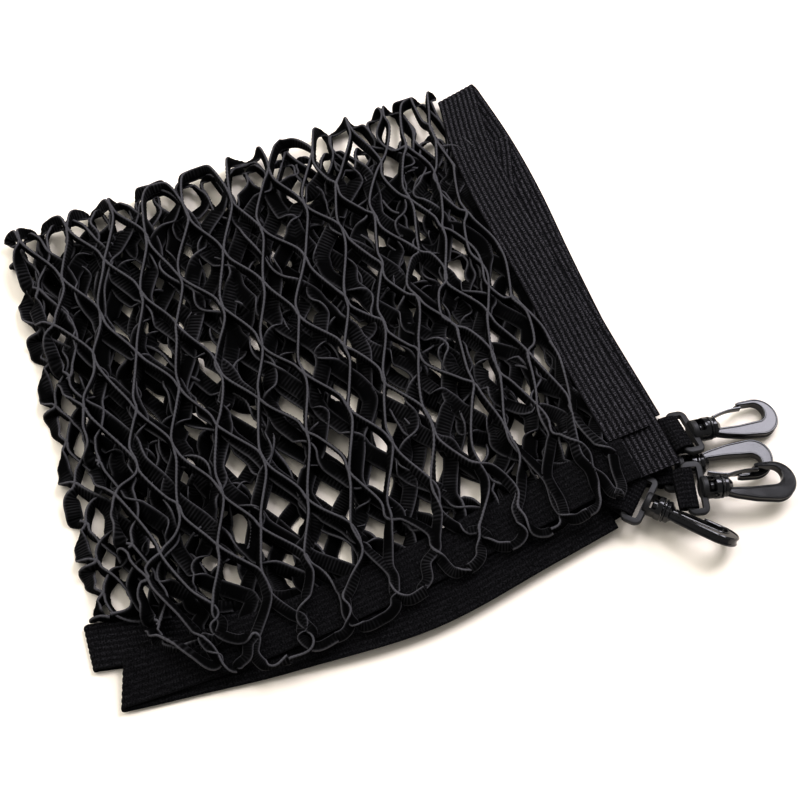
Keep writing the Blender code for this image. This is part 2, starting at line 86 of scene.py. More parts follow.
# %% [markdown]
# ## The folded cloth
# Every cord and every band of webbing follows the same folded square, so its shape is worked out
# once. The tables say where the middle of the webbing runs in each of the four layers, and where it
# turns over. They are the solids' own tables, with a few ends moved by up to 18 mm to where the
# picture shows them. Between them a few functions say where a point of the flat cloth comes to
# lie. They work on whole arrays of points, which keeps them fast.

# %% Dimensions of the cloth
CLOTH_SIDE = 0.700
WEB_WIDTH = 0.030
WEB_THICK = 0.0018
SEAM = 0.0009
LOFTED = (0.0, 0.0044, 0.0088, 0.0132)  # undersides of the layers, in the middle of the net
PRESSED = (0.0, 0.0032, 0.0064, 0.0096)  # and under the webbing
CORNER_RISE = (0.0, 0.0, 0.0120, 0.0118)
CORNER_RISE_X, CORNER_RISE_Y = (0.235, 0.300), (-0.235, -0.325)
FRONT_LEAN = 0.19
LEAN_FADE_X = (0.120, 0.010)
LEAN_INSET = 0.002
FOOT_RISE = 0.0030
MIDDLE = np.array((0.18484, -0.20975, 0.0))  # of the footprint, in the tables' own frame

Right = namedtuple("Right", "y x1 x2 x3 x4")
RIGHT = (
    Right(-0.010, 0.3400, 0.3400, 0.3400, 0.3360),
    Right(-0.060, 0.3430, 0.3400, 0.3400, 0.3255),
    Right(-0.110, 0.3420, 0.3370, 0.3240, 0.3220),
    Right(-0.170, 0.3370, 0.3335, 0.3235, 0.3220),
    Right(-0.230, 0.3330, 0.3320, 0.3250, 0.3205),
    Right(-0.290, 0.3305, 0.3325, 0.3240, 0.3170),
    Right(-0.350, 0.3290, 0.3330, 0.3225, 0.3150),
)
Front = namedtuple("Front", "x y1 y2 y3 y4")
FRONT = (
    Front(-0.047, -0.3125, -0.3125, -0.3420, -0.3420),
    Front(0.000, -0.3260, -0.3250, -0.3510, -0.3465),
    Front(0.060, -0.3450, -0.3430, -0.3620, -0.3500),
    Front(0.150, -0.3620, -0.3580, -0.3720, -0.3470),
    Front(0.240, -0.3560, -0.3520, -0.3620, -0.3380),
    Front(0.310, -0.3440, -0.3400, -0.3530, -0.3365),
)
Layer = namedtuple("Layer", "across along turn_y turn_x end_y end_x foot_x foot_reach")
IN_FRONT_OF_SEAM = -(WEB_WIDTH / 2 + SEAM)
LAYERS = (
    Layer(+1, -1, -0.0170, -0.0440, -0.305, 0.300, -0.036, IN_FRONT_OF_SEAM),
    Layer(-1, -1, -0.0640, -0.0440, -0.308, 0.298, -0.036, IN_FRONT_OF_SEAM),
    Layer(-1, +1, -0.0640, -0.0320, -0.351, 0.284, -0.008, IN_FRONT_OF_SEAM),
    Layer(+1, +1, -0.0170, -0.0320, -0.321, 0.309, -0.008, 0.0210),
)
BACK_LEFT_X, NET_TOP_Y = 0.000, -0.0060
CORNER_Y = -0.340
print("cloth:", CLOTH_SIDE, "m square, webbing", WEB_WIDTH * 1000, "mm wide")


# %% Smooth lines through the tables
def mix(a, b, share):
    return a + (b - a) * share


def ease(low, high, value):
    """0 up to low, 1 from high, and a smooth step between them."""
    share = np.clip((value - low) / (high - low), 0.0, 1.0)
    return share * share * (3 - 2 * share)


def cubic(start, start_way, end, end_way, t):
    """The smooth curve between two ends, each with its way ahead; t runs from 0 to 1."""
    return (
        start * (2 * t**3 - 3 * t**2 + 1)
        + start_way * (t**3 - 2 * t**2 + t)
        + end * (3 * t**2 - 2 * t**3)
        + end_way * (t**3 - t**2)
    )


def cubic_way(start, start_way, end, end_way, t):
    """The way ahead on the same curve."""
    return (
        (start - end) * (6 * t**2 - 6 * t)
        + start_way * (3 * t**2 - 4 * t + 1)
        + end_way * (3 * t**2 - 2 * t)
    )


def along_table(rows, column, at):
    """A smooth curve through one column of a table, read at values of its first column."""
    keys, values = np.array([(row[0], getattr(row, column)) for row in sorted(rows)]).T
    slopes = np.empty(len(keys))
    slopes[1:-1] = (values[2:] - values[:-2]) / (keys[2:] - keys[:-2])
    slopes[0], slopes[-1] = np.diff(values)[[0, -1]] / np.diff(keys)[[0, -1]]
    at = np.asarray(at, float)
    i = np.clip(np.searchsorted(keys, at, side="right") - 1, 0, len(keys) - 2)
    span = keys[i + 1] - keys[i]
    inside = np.clip(at, keys[0], keys[-1])
    t = (inside - keys[i]) / span
    curve = cubic(values[i], span * slopes[i], values[i + 1], span * slopes[i + 1], t)
    return curve + (at - inside) * np.where(at < keys[0], slopes[0], slopes[-1])


def points(x, y, z):
    """An array of points from arrays or numbers."""
    return np.stack(np.broadcast_arrays(x, y, z), axis=-1).astype(float)


# %% Heights of the webbing and its lines
def rise_at(layer, x, y):
    return CORNER_RISE[layer] * ease(*CORNER_RISE_X, x) * ease(*CORNER_RISE_Y, y)


def front_slope(layer, x):
    return FRONT_LEAN * ease(*LEAN_FADE_X, x) if layer > 1 else 0.0 * x


def lean_at(layer, x, y):
    edge_y = along_table(FRONT, "y3", x) + WEB_WIDTH / 2 - LEAN_INSET
    return np.minimum(0.0, y - edge_y) * front_slope(layer, x)


def right_line(layer, y):
    """The webbing at the right side: the middle of its underside, and the way across it."""
    x = along_table(RIGHT, f"x{layer + 1}", y)
    return points(x, y, PRESSED[layer] + rise_at(layer, x, y)), points(1 + 0 * x, 0, 0)


def front_line(layer, x):
    """The webbing at the front: the middle of its underside, and the way across it."""
    y = along_table(FRONT, f"y{layer + 1}", x)
    height = PRESSED[layer] + lean_at(layer, x, y)
    if layer == 3:
        height = height + rise_at(layer, x, CORNER_Y)
    return points(x, y, height), points(0, 1, front_slope(layer, x))


print("front edge of the top webbing:", front_line(3, np.array((0.0, 0.3)))[0].round(4).tolist())

# %% [markdown]
# ## Where the flat net comes to lie
# Folded cloth turns over in a half round whose radius comes from the layers between. The same two
# short functions give a point's distance from the fold and the side that it lies on. The net is
# then spread between its folds and its webbing. It isn't square to them: its rows climb towards
# the right in the top layer, because more of it was pulled over the back fold there, and it is
# bunched up against the webbing.

# %% The net between its folds and its webbing
HALF = CLOTH_SIDE / 2 - WEB_WIDTH
LEFT_RADIUS = (LOFTED[1] - LOFTED[0]) / 2
BACK_RADIUS_INNER, BACK_RADIUS_OUTER = LEFT_RADIUS, 3 * LEFT_RADIUS
INNER_FOLD_INSET = BACK_RADIUS_OUTER - BACK_RADIUS_INNER
INNER_FOLD_DROP = 0.032  # how much further forward the inner back fold ends
# Shares of the way right (u) and to the front (v) between which the net is pressed together,
# climbs over the front webbing, leaves the left fold, bends inside, and reaches to the front.
PRESS_U, PRESS_V = (0.76, 0.96), (0.70, 0.90)
CLIMB_U, CLIMB_V = (0.0, 0.06), (0.76, 0.875)
LOFT_U, DROP_U, FOOT_U = (0.0, 0.10), (0.35, 1.0), (0.0, 0.12)
CORD_TALL, CORD_TALL_UNDER, CORD_WIDE = 0.0070, 0.0110, 0.0024
BUNCH_RIGHT, BUNCH_FRONT = 0.10, 0.12  # how much the net bunches towards its webbing
BUNCH_POWER = 6
ROW_CLIMB = 0.17  # slope of the net's rows in the top layer
ROW_CLIMB_FROM = 0.12  # share of the width from which they climb
CLIMB_FADE_V = (0.62, 1.0)
INNER_THIN, INNER_THIN_SHARE = (0.004, 0.022), 0.5  # cords are thinner where they turn over inside


def fold_length(distance, radius):
    """How far from the edge of a round fold a point of the flat cloth comes to lie."""
    angle = np.abs(distance) / radius
    round_part = radius * (1 - np.cos(np.minimum(angle, math.pi / 2)))
    return round_part + np.maximum(0.0, np.abs(distance) - radius * math.pi / 2)


def fold_side(distance, radius):
    """Which leg of the fold a point is on: -1 before it, +1 after it, 0 at its edge."""
    return np.sin(np.clip(distance / radius, -math.pi / 2, math.pi / 2))


def layer_place(layer, u, v):
    """The underside of one layer; u runs from 0 at the left to 1 at the right, v to the front."""
    row = LAYERS[layer]

    def right_edge(y):
        return right_line(layer, y)[0][..., :2] - (WEB_WIDTH / 2 + SEAM, 0)

    def front_edge(x):
        reach = mix(IN_FRONT_OF_SEAM, row.foot_reach, ease(*FOOT_U, u))
        x = x + 0 * u
        return np.stack((x, front_line(layer, x)[0][..., 1] - reach), axis=-1)

    inner = layer in (1, 2)
    inset, drop = (INNER_FOLD_INSET, INNER_FOLD_DROP) if inner else (0.0, 0.0)
    back_left = np.array((BACK_LEFT_X, NET_TOP_Y - inset))
    back_right = right_edge(np.array(NET_TOP_Y - inset - drop))
    back = np.stack(
        (mix(back_left[0], back_right[0], u), back_left[1] - drop * ease(*DROP_U, u)), axis=-1
    )
    foot_left = front_edge(row.foot_x)
    corner = front_edge(right_edge(np.array(CORNER_Y))[0])
    share_u, share_v = u[..., None], v[..., None]
    across = back * (1 - share_v) + front_edge(mix(row.foot_x, corner[..., 0], u)) * share_v
    right = right_edge(mix(back_right[1], corner[..., 1], v))
    along = mix(back_left, foot_left, share_v) * (1 - share_u) + right * share_u
    between = mix(mix(back_left, back_right, share_u), mix(foot_left, corner, share_u), share_v)
    x, y = np.moveaxis(across + along - between, -1, 0)
    pressed = (1 - (1 - ease(*PRESS_U, u)) * (1 - ease(*PRESS_V, v))) * ease(*LOFT_U, u)
    height = mix(LOFTED[layer], PRESSED[layer], pressed)
    height = height + rise_at(layer, x, y) + lean_at(layer, x, y)
    if layer == 3:
        clear = FOOT_RISE + WEB_WIDTH / 2 * front_slope(layer, x)
        height = height + clear * ease(*CLIMB_U, u) * ease(*CLIMB_V, v)
    spacing = mix(LOFTED[1], PRESSED[1], pressed)
    return points(x, y, height), spacing


def smooth_noise(a, b, waves, seed):
    """Soft bumps over the flat cloth, between -1 and 1."""
    flat = zip(np.ravel(a) * waves, np.ravel(b) * waves)
    return np.array([noise.noise(Vector((x, y, seed))) for x, y in flat]).reshape(np.shape(a))


def share_across(a):
    """How far to the right a point comes to lie, from 0 at the left fold to 1."""
    return fold_length(a, LEFT_RADIUS) / fold_length(HALF, LEFT_RADIUS)


def climb_at(a, b):
    """How far the net is pulled over the back fold at points of the flat cloth."""
    side = fold_side(a, LEFT_RADIUS)
    u = share_across(a)
    climb = np.maximum(0.0, u - ROW_CLIMB_FROM) * HALF * ROW_CLIMB * (1 + side) / 2
    return climb * (1 - ease(*CLIMB_FADE_V, np.abs(b) / HALF))


def laid(a, b):
    """Where points of the flat net lie, and how tall a cord may stand there."""
    side = fold_side(a, LEFT_RADIUS)
    radius = mix(BACK_RADIUS_INNER, BACK_RADIUS_OUTER, (1 + side) / 2)
    u = share_across(a)
    b = b - climb_at(a, b)
    end = fold_side(b, radius)
    v = fold_length(b, radius) / fold_length(HALF, radius)
    u = u + BUNCH_RIGHT * (u - u**BUNCH_POWER)
    v = v + BUNCH_FRONT * (v - v**BUNCH_POWER)
    place, tall = 0.0, 0.0
    for layer, row in enumerate(LAYERS):
        share = (1 + row.across * side) * (1 + row.along * end) / 4
        underside, spacing = layer_place(layer, u, v)
        place = place + underside * share[..., None]
        limit = CORD_TALL if layer == 3 else CORD_TALL_UNDER
        tall = tall + np.minimum(limit, spacing + CORD_TALL_UNDER - LOFTED[1]) * share
        place = place + points(0, 0, spacing / 2 * share)
    at_inner_fold = (1 - ease(*INNER_THIN, np.abs(b))) * (np.asarray(a) < 0)
    return place - MIDDLE, tall * (1 - INNER_THIN_SHARE * at_inner_fold)


corners = laid(np.array((HALF, HALF, -HALF)), np.array((HALF, -HALF, HALF)))[0]
print("the net's corners (mm):", (corners * 1000).round(1).tolist())

# %% [markdown]
# ## A tube that follows a line
# Cords, webbing, tabs and the hooks' bent parts are all one kind of shape: a section that is
# carried along a line. One helper makes it. It starts from a circle, spins it straight up in steps
# without turning it, closes both ends, and then moves each point to its place. A point tells its
# ring from its height and its side from its angle.


# %% Tubes
CIRCLE_START = 0.25  # of a turn, where the first point of a circle is


def tube(place):
    """A closed tube as a bmesh; place is an array of points, one row for each ring."""
    rings, sides = len(place), len(place[0])
    bm = bmesh.new()
    bmesh.ops.create_circle(bm, segments=sides, radius=1.0)
    bmesh.ops.spin(
        bm, geom=bm.verts[:] + bm.edges[:], dvec=(0, 0, 1), angle=0.0, axis=(0, 0, 1), steps=rings - 1
    )
    bmesh.ops.holes_fill(bm, edges=[edge for edge in bm.edges if edge.is_boundary], sides=0)
    ring_layer = bm.verts.layers.int.new("ring")
    side_layer = bm.verts.layers.int.new("side")
    for vert in bm.verts:
        ring = round(vert.co.z)
        turn = math.atan2(vert.co.y, vert.co.x) / math.tau - CIRCLE_START
        side = round(turn * sides) % sides
        vert[ring_layer], vert[side_layer] = ring, side
        vert.co = place[ring, side]
    bmesh.ops.recalc_face_normals(bm, faces=bm.faces)
    return bm


def mark(bm, name, value_of):
    """Writes a number on each point of a bmesh, for its finish to read."""
    layer = bm.verts.layers.float.new(name)
    for vert in bm.verts:
        vert[layer] = value_of(vert)


def append(whole, bm):
    """Adds one bmesh to another."""
    part = bpy.data.meshes.new("part")
    bm.to_mesh(part)
    bm.free()
    whole.from_mesh(part)
    bpy.data.meshes.remove(part)


def unit(vectors):
    """Each vector at length 1."""
    return vectors / np.linalg.norm(vectors, axis=1, keepdims=True)


def directions(line):
    """The way ahead at each point of a line."""
    return unit(np.gradient(line, axis=0))


def distances(line):
    """How far along a line each of its points is."""
    return np.concatenate(([0.0], np.cumsum(np.linalg.norm(np.diff(line, axis=0), axis=1))))


def evenly(line, count):
    """A number of points that lie evenly along a line."""
    lengths = distances(line)
    at = np.linspace(0, lengths[-1], count)
    return np.stack([np.interp(at, lengths, column) for column in line.T], axis=-1)


def square_to(vectors, ahead):
    """The part of each vector that is square to the way ahead, at length 1."""
    return unit(vectors - (vectors * ahead).sum(1, keepdims=True) * ahead)


def finished(name, bm, material, sharp=None):
    """Makes a bmesh the mesh of a new object, shaded smooth."""
    mesh = bpy.data.meshes.new(name)
    bm.to_mesh(mesh)
    bm.free()
    mesh.materials.append(material)
    mesh.shade_smooth()
    if sharp:
        mesh.set_sharp_from_angle(angle=math.radians(sharp))
    return placed(name, mesh)


print("a line's way ahead:", directions(points(np.arange(4.0), 0, 0))[0].tolist())

# %% [markdown]
# ## Shader arithmetic
# A finish is a few numbers that change over a surface. They are easier to read as sums than as
# nodes, so a small class wraps a node's output, and Python's operators on it add Math nodes. Any
# other node comes from one method.


# %% Sums of sockets
def sum_of(operation, *first):
    """A method that adds one Math node for an operator."""
    return lambda signal, *others: signal.maths(operation, *first, *others)


class Signal:
    """One output of a shader node; operators on it add Math nodes."""

    def __init__(self, tree, output):
        self.tree, self.output = tree, output

    @staticmethod
    def node(tree, kind, settings=None, inputs=None, output=0):
        """Adds a node, sets its settings, then its sockets, and gives one of its outputs."""
        made = tree.nodes.new(kind)
        for name, value in (settings or {}).items():
            setattr(made, name, value)
        for key, value in (inputs or {}).items():
            if isinstance(value, Signal):
                tree.links.new(value.output, made.inputs[key])
            else:
                made.inputs[key].default_value = value
        return Signal(tree, made.outputs[output])

    def maths(self, operation, *values):
        inputs = dict(enumerate((self, *values)))
        return Signal.node(self.tree, "ShaderNodeMath", {"operation": operation}, inputs)

    __add__ = __radd__ = sum_of("ADD")
    __mul__ = __rmul__ = sum_of("MULTIPLY")
    __sub__, __rsub__ = sum_of("SUBTRACT"), sum_of("MULTIPLY_ADD", -1.0)
    __pow__, sine = sum_of("POWER"), sum_of("SINE")

    def clamped(self):
        return self.maths("MINIMUM", 1.0).maths("MAXIMUM", 0.0)


class Finish:
    """A material with a Principled shader, and the coordinates that its patterns read."""

    def __init__(self, name, roughness, specular):
        self.material = bpy.data.materials.new(name)
        self.material.use_nodes = True
        self.tree = self.material.node_tree
        self.shader = self.tree.nodes["Principled BSDF"]
        self.shader.inputs["Roughness"].default_value = roughness
        self.shader.inputs["Specular IOR Level"].default_value = specular

    def node(self, *what, **how):
        return Signal.node(self.tree, *what, **how)

    def attribute(self, name):
        return self.node("ShaderNodeAttribute", {"attribute_name": name}, output="Fac")

    def speckle(self, scale, detail=2.0):
        """Noise at a number of waves a metre, from 0 to 1."""
        place = self.node("ShaderNodeTexCoord", output="Object")
        inputs = {"Vector": place, "Scale": scale, "Detail": detail}
        return self.node("ShaderNodeTexNoise", inputs=inputs, output="Fac")

    def blend(self, share, low, high):
        """A colour between two colours."""
        inputs = {0: share, 6: (*low, 1.0), 7: (*high, 1.0)}
        return self.node("ShaderNodeMix", {"data_type": "RGBA"}, inputs, output=2)

    def feed(self, socket, signal):
        self.tree.links.new(signal.output, self.shader.inputs[socket])

    def bump(self, height, distance, strength):
        inputs = {"Height": height, "Distance": distance, "Strength": strength}
        self.feed("Normal", self.node("ShaderNodeBump", inputs=inputs, output="Normal"))


print("signals and finishes are ready")

# %% [markdown]
# ## Finishes
# All of it is black, but not the same black. The cord's broad sides swallow light. Its smoother
# selvedge and, in patches, its rib crests are painted lighter, a painted highlight. The webbing is a
# charcoal weave whose rib crests are painted lighter, a painted highlight, and whose grooves are
# painted darker, painted shade. The hooks are moulded gloss plastic, whose flat faces mirror the light
# above.

# %% Elastic cord
CORD_SIDE, CORD_PAINTED_HIGHLIGHT = (0.0015, 0.0015, 0.0016), (0.085, 0.083, 0.088)
RIB_PAINTED_HIGHLIGHT = 0.30

cord = Finish("elastic_cord", 0.9, specular=0.03)
edge = cord.attribute("edge")
rib = cord.attribute("rib")
fuzz = cord.speckle(900)
patches = ((cord.speckle(45) - 0.45) * 5).clamped()
# Painted highlight: the cord's smooth top edge is painted lighter, and so are its rib crests in patches,
# where light from above would catch them.
lit = (edge**4 * (0.4 + 0.9 * fuzz) + rib * rib * patches * RIB_PAINTED_HIGHLIGHT).clamped()
cord.feed("Base Color", cord.blend(lit, CORD_SIDE, CORD_PAINTED_HIGHLIGHT))
cord.feed("Roughness", 0.95 - 0.3 * edge)
cord.bump(fuzz, distance=0.0002, strength=0.5)
print("cord:", len(cord.tree.nodes), "nodes")

# %% Woven webbing
WEB_DARK, WEB_LIGHT = (0.0022, 0.0022, 0.0025), (0.095, 0.091, 0.100)
PICK = 0.0018  # length of one pass of the weft

webbing = Finish("woven_webbing", 0.9, specular=0.04)
ridge = webbing.attribute("ridge")
along = webbing.attribute("along")
weft = (along * (math.tau / PICK)).sine()
grain = webbing.speckle(1300, 0.5)
weave = (0.30 + 0.10 * weft + 1.9 * (grain - 0.5)).clamped()
# Painted highlight and shade: the crests of the ribs are painted lighter and the grooves darker, the
# crests less so on the front webbing.
light = (weave * (0.10 + 0.90 * ridge**3)).clamped()
webbing.feed("Base Color", webbing.blend(light, WEB_DARK, WEB_LIGHT))
webbing.feed("Roughness", 0.95 - 0.3 * weave)
webbing.bump(weave, distance=0.0002, strength=0.5)
print("webbing:", len(webbing.tree.nodes), "nodes")

# %% Moulded plastic
PLASTIC, PLASTIC_HAZE = (0.0030, 0.0030, 0.0033), (0.007, 0.007, 0.008)
EYE_MATT = 0.40  # how much rougher the eyes are, where the webbing rubs them

plastic = Finish("moulded_plastic", 0.2, specular=0.5)
haze = plastic.speckle(160, 4.0)
grainy = plastic.speckle(2500)
plastic.feed("Base Color", plastic.blend(haze, PLASTIC, PLASTIC_HAZE))
plastic.feed("Roughness", 0.08 + 0.10 * haze + EYE_MATT * plastic.attribute("matt"))
plastic.bump(grainy, distance=0.00004, strength=0.35)
print("plastic:", len(plastic.tree.nodes), "nodes")

# %% [markdown]
# ## The net's cords
# The net is knitted from flat elastic cords that cross at small knots. In the top layer they stand
# on their edges, and below it they are pressed nearly flat. Each cord runs slantwise over the whole
# net, so it is made as one line from edge to edge, with a point at each knot and a few bends
# between, and a smooth curve through them. Slack cords bow a little to one side, more so where the
# net is bunched. Fine ribs lie across their sides, two millimetres apart. Each layer of the packet
# is a piece of its own, which keeps the pieces small.

# %% Knots and cords
COLUMNS, ROWS = 22, 11  # from the middle of the net to its edge
EDGE_CLEAR, CORD_CLEAR = 0.0010, 0.0020
HALF_CELL = (HALF - SEAM - CORD_CLEAR) / (COLUMNS - 0.5)
ROW_STEP = (HALF - EDGE_CLEAR) / (ROWS - 0.5)
KNOT_STRAY, BOW = 0.0013, 0.0014
BUNCHED_MORE = 2.2  # times as uneven next to the webbing
BUNCHED_U, BUNCHED_V = (0.45, 0.95), (0.65, 0.95)
EDGE_CALM = 4  # how quickly the straying dies out at the net's edge
SLIPS = ((-0.007, 0.015), (0.007, 0.015), (0.015, 0.0), (0.0, 0.0))  # of each layer on the next
SLIP_FADE = 0.055  # over which a layer starts to slip, away from a fold
SLIP_STOP = (1.0, 0.8)  # shares of the way to the edge where it stops
WANDER_UNDER, WANDER_TOP, WANDER_WAVES, WANDER_SEEDS = 0.005, 0.004, 9, (2.5, 9.5)
HANG_STRAY = 0.0045  # how unevenly the last loops at the front hang
RIB = 0.0022
RING_STEP = RIB / 2
CURVE_STEPS = 16  # from one point of a curve to the next
SHORTEST = 4  # rings in the shortest stretch of cord
KNIT = np.random.default_rng(7)

# Where a cord bends on its way from one knot to the next: shares of the way across and along.
PLAIN_BENDS = ((0.19, 0.26), (0.81, 0.74))
FOLD_BENDS = ((0.02, 0.26), (0.16, 0.44), (0.50, 0.54), (0.84, 0.72))
CREST = 0.28  # rows from the back fold within which a knot lies on its crest
TO_CREST_BENDS = ((0.10, 0.36), (0.42, 0.84))
FROM_CREST_BENDS = ((0.58, 0.16), (0.90, 0.64))
LOOP_BENDS = ((0.06, 0.34), (0.26, 0.78), (0.62, 0.99))
SIDE_BENDS = ((0.34, 0.16), (0.49, 0.38), (0.51, 0.62), (0.66, 0.84))


def uneven(a, b):
    """How many times as uneven the net is at a point as in its calm middle."""
    right, front = ease(*BUNCHED_U, abs(a) / HALF), ease(*BUNCHED_V, b / HALF)
    return 1 + BUNCHED_MORE * np.maximum(right, front)


def layer_of(a, b):
    """The number of the layer, from 0, that points of the flat net lie in."""
    return np.where(a >= 0, np.where(b >= 0, 3, 0), np.where(b >= 0, 2, 1))


def slipped(a, b):
    """How far a point of the net slips along its layer, so that the layers' gaps don't line up."""
    layer = int(layer_of(a, b))
    share = float(ease(0, SLIP_FADE, abs(a)) * ease(0, SLIP_FADE, abs(b)))
    share *= float(ease(*SLIP_STOP, abs(a) / HALF) * ease(*SLIP_STOP, abs(b) / HALF))
    reach = WANDER_TOP if layer == 3 else WANDER_UNDER
    drift = [smooth_noise(a, b, WANDER_WAVES, seed) * reach for seed in WANDER_SEEDS]
    return (np.array(SLIPS[layer]) + np.array(drift)) * share


def knot_table():
    """Where each knot lies in the flat net, a little off its even place."""
    table = {}
    for j in range(-ROWS, ROWS):
        for i in range(-COLUMNS, COLUMNS):
            if (i + j) % 2 == 0:
                a, b = (i + 0.5) * HALF_CELL, (j + 0.5) * ROW_STEP
                inner = min(1.0, EDGE_CALM * (1 - max(abs(a), abs(b)) / HALF))
                stray = KNIT.normal(0, KNOT_STRAY * uneven(a, b) * inner, 2)
                if j == ROWS - 1:
                    stray = stray + (0, KNIT.normal(0, HANG_STRAY))
                table[i, j] = np.array((a, b)) + stray + slipped(a, b)
    return table


KNOTS = knot_table()


def between(one, two, row, columns):
    """Where a cord bends between two knots, of which the first is in the given row."""
    way = two - one
    bends = PLAIN_BENDS
    before, after = (float(knot[1] - climb_at(*knot)) / ROW_STEP for knot in (one, two))
    if abs(after) < CREST:
        bends = TO_CREST_BENDS
    elif abs(before) < CREST:
        bends = FROM_CREST_BENDS
    elif before * after < 0:
        bends = FOLD_BENDS
    elif sorted(columns) == [-1, 0]:
        bends = SIDE_BENDS
    elif row == ROWS - 2:
        bends = LOOP_BENDS
    elif row == -ROWS:
        bends = [(1 - across, 1 - along) for across, along in reversed(LOOP_BENDS)]
    bow = KNIT.normal(0, BOW * uneven(*one)) / np.linalg.norm(way)
    aside = bow * np.array((-way[1], way[0]))
    return [one + way * bend + aside for bend in bends]


def cord_lines():
    """The flat net's cords, each a list of points from edge to edge."""
    lines = []
    for step in (1, -1):
        for i, j in KNOTS:
            if (i - step, j - 1) in KNOTS:
                continue
            line = [KNOTS[i, j]]
            while (i + step, j + 1) in KNOTS:
                line += between(KNOTS[i, j], KNOTS[i + step, j + 1], j, (i, i + step))
                i, j = i + step, j + 1
                line.append(KNOTS[i, j])
            if len(line) > 1:
                lines.append(line)
    return lines


def even_curve(line, step):
    """A smooth curve through a list of points, as points that lie evenly along it."""
    line = np.array([2 * line[0] - line[1], *line, 2 * line[-1] - line[-2]])
    t = np.linspace(0, 1, CURVE_STEPS, endpoint=False)[:, None]
    parts = []
    for p0, p1, p2, p3 in zip(line, line[1:], line[2:], line[3:]):
        parts.append(cubic(p1, (p2 - p0) / 2, p2, (p3 - p1) / 2, t))
    fine = np.concatenate([*parts, line[-2:-1]])
    return evenly(fine, max(SHORTEST, round(distances(fine)[-1] / step) + 1))


LINES = [even_curve(line, RING_STEP) for line in cord_lines()]
total_length = sum(len(line) for line in LINES) * RING_STEP
print("cords:", len(LINES), " knots:", len(KNOTS), " cord in all:", round(total_length, 1), "m")

# %% The cords' section
# One row for each side of the tube: how far out it is across the cord and up it, how much of the
# rib's depth it has, and whether it is on the smooth edge, which the finish paints lighter as a
# painted highlight. The other quarters mirror the first.
Side = namedtuple("Side", "out up rib edge")
QUARTER = (Side(1.00, 0.50, 1.0, 0.0), Side(0.50, 1.00, 0.3, 1.0))
UPPER = (*QUARTER, *(side._replace(out=-side.out) for side in reversed(QUARTER)))
CORD_SIDES = (*UPPER, *(side._replace(out=-side.out, up=-side.up) for side in UPPER))
RIB_DEPTH = 0.18
LEAN_TOP, LEAN_UNDER, LEAN_CRUMPLED = math.radians(20), math.radians(73), math.radians(70)
TILT_WAVES, TILT_REACH = 24, 2  # waves a metre, and how far they lean a cord
TILT_SHARPNESS = 4
CRUMPLED_V = (0.72, 0.90)
UPRIGHT_AT_FOLD = (0.0, 0.03)  # metres from a fold where cords start to lean
CORDS_APART = 3.7  # between two cords' places in the noise
COVERED = (0.80, 0.90)  # share of the way to the net's edge from which cords lie flat
KNOT_REACH, KNOT_SWELL = 0.0030, 0.35
NORMAL_STEP = 0.0004


def knot_swell(a, b):
    """How much thicker a cord is near a knot."""
    i, j = a / HALF_CELL - 0.5, b / ROW_STEP - 0.5
    near_i, near_j = np.round(i), np.round(j)
    odd = (near_i + near_j) % 2 != 0
    off = np.hypot((i - near_i) * HALF_CELL, (j - near_j) * ROW_STEP)
    return np.where(odd, 0.0, np.exp(-((off / KNOT_REACH) ** 2)))


def cord_rings(line, number):
    """The rings of one cord's tube, laid in the packet, and each ring's layer."""
    a, b = line.T
    place, tall = laid(a, b)
    over_a = laid(a + NORMAL_STEP, b)[0] - place
    over_b = laid(a, b + NORMAL_STEP)[0] - place
    ahead = directions(place)
    up = square_to(np.cross(over_a, over_b), ahead)
    out = np.cross(ahead, up)
    layer = layer_of(a, b)
    travel = np.arange(len(line)) * RING_STEP
    wander = TILT_REACH * smooth_noise(travel, 0 * travel, TILT_WAVES, number * CORDS_APART + 0.5)
    under = np.clip(wander * TILT_SHARPNESS, -1, 1)
    covered = ease(*COVERED, np.maximum(np.abs(a), np.abs(b)) / HALF) * (layer < 3)
    under = mix(under, 1.0, covered)
    crumpled = ease(*CRUMPLED_V, b / HALF)
    top = mix(LEAN_TOP * wander, LEAN_CRUMPLED * under, crumpled)
    lean = np.where(layer == 3, top, LEAN_UNDER * under)
    lean = lean * ease(*UPRIGHT_AT_FOLD, np.abs(a)) * ease(*UPRIGHT_AT_FOLD, np.abs(b))
    cosine, sine = np.cos(lean)[:, None], np.sin(lean)[:, None]
    out, up = out * cosine + up * sine, up * cosine - out * sine
    rib = RIB_DEPTH * np.where(np.arange(len(line)) % 2, 1, -1)
    swell = 1 + KNOT_SWELL * knot_swell(a, b)
    sides = []
    for side in CORD_SIDES:
        wide = side.out * CORD_WIDE / 2 * (1 + side.rib * rib) * swell
        high = side.up * tall / 2
        sides.append(place + out * wide[:, None] + up * high[:, None])
    rings = np.stack(sides, axis=1)
    rings[..., 2] += np.maximum(0.0, -rings[..., 2].min(axis=1))[:, None]
    return rings, layer


def net_layers():
    """The four layers of the net, each one bmesh of all its stretches of cord."""
    layers = [bmesh.new() for _ in LAYERS]
    for number, line in enumerate(LINES):
        rings, layer = cord_rings(line, number)
        starts = [0, *(np.flatnonzero(np.diff(layer)) + 1), len(layer)]
        for start, stop in zip(starts, starts[1:]):
            start_ring, stop_ring = max(0, start - 1), min(len(layer), stop + 1)
            if stop_ring - start_ring >= SHORTEST:
                append(layers[layer[start]], tube(rings[start_ring:stop_ring]))
    for bm in layers:
        ring, side = (bm.verts.layers.int[name] for name in ("ring", "side"))
        # The finish paints the top edge and every other ring, the rib crests, lighter as a painted
        # highlight.
        mark(bm, "edge", lambda vert: CORD_SIDES[vert[side]].edge)
        mark(bm, "rib", lambda vert: vert[ring] % 2)
    return layers


net_pieces = []
for number, bm in enumerate(net_layers(), 1):
    piece = finished(f"net_layer_{number}", bm, cord.material)
    net_pieces.append(piece)
    print(piece.name, len(piece.data.polygons), "faces")
